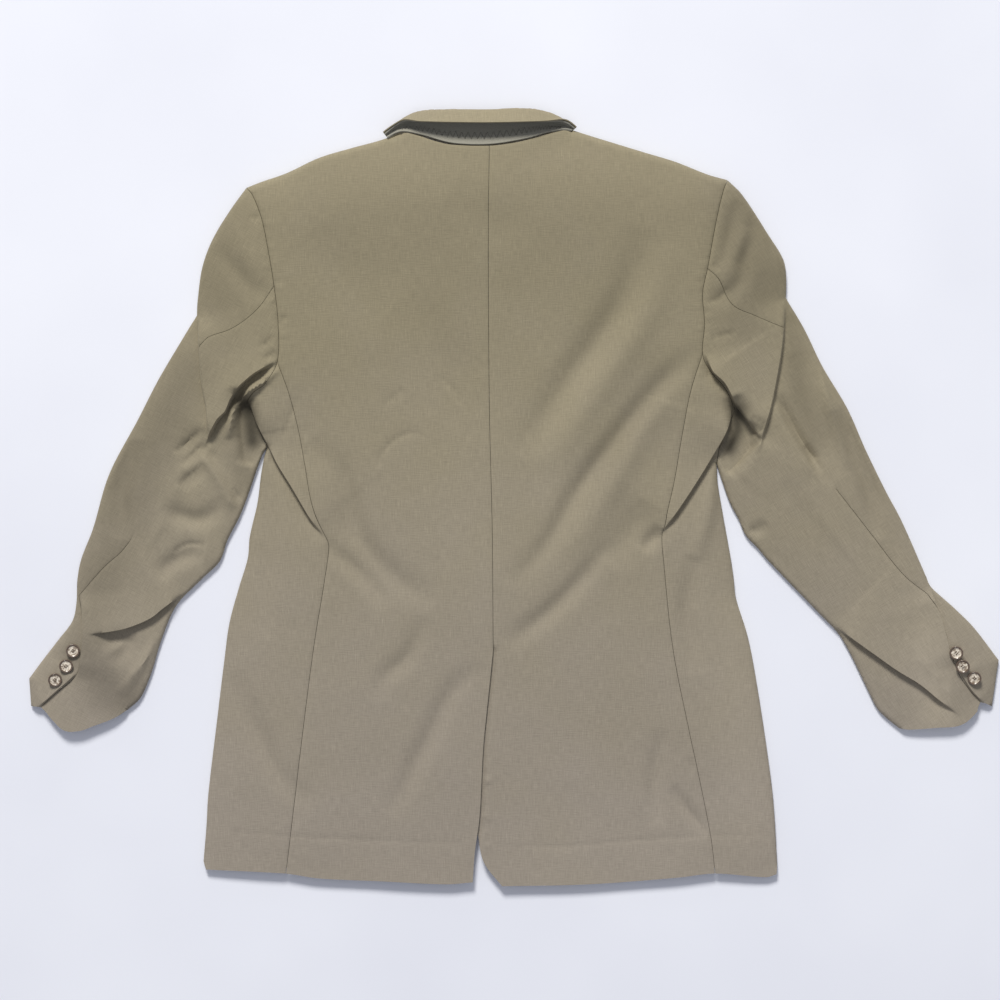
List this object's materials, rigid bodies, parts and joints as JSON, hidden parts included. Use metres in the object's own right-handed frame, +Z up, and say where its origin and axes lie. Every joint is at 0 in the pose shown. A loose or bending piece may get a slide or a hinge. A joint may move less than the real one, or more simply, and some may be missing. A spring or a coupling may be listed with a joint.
{
  "type": "blazer laid flat, back up",
  "caption": "Single-breasted blazer in plain light wool cloth, laid flat face down with its back up, sleeves out and collar raised.",
  "frame": {"origin": "on the table under the middle of the garment's box", "axes": "+X to the right of the picture (the wearer's right), +Y towards the collar, +Z up out of the table"},
  "size_m": [1.007, 0.8042, 0.0392],
  "materials": {
    "wool_cloth": "plain-woven light wool in taupe khaki, matt with a faint sheen and small slubs",
    "undercollar_felt": "pressed grey-green undercollar felt, matt",
    "horn_button": "turned horn-look button, brown rim and cream marbled middle, satin"
  },
  "bodies": {
    "root": {"back_left": "wool_cloth", "back_right": "wool_cloth", "side_left": "wool_cloth", "side_right": "wool_cloth", "front_left": "wool_cloth", "front_right": "wool_cloth", "lapel_left": "wool_cloth", "lapel_right": "wool_cloth", "top_sleeve_left": "wool_cloth", "top_sleeve_right": "wool_cloth", "under_sleeve_left": "wool_cloth", "under_sleeve_right": "wool_cloth", "top_collar": "wool_cloth", "under_collar": "undercollar_felt", "cuff_button_left_1": "horn_button", "cuff_button_left_2": "horn_button", "cuff_button_left_3": "horn_button", "cuff_button_right_1": "horn_button", "cuff_button_right_2": "horn_button", "cuff_button_right_3": "horn_button"}
  },
  "joints": []
}
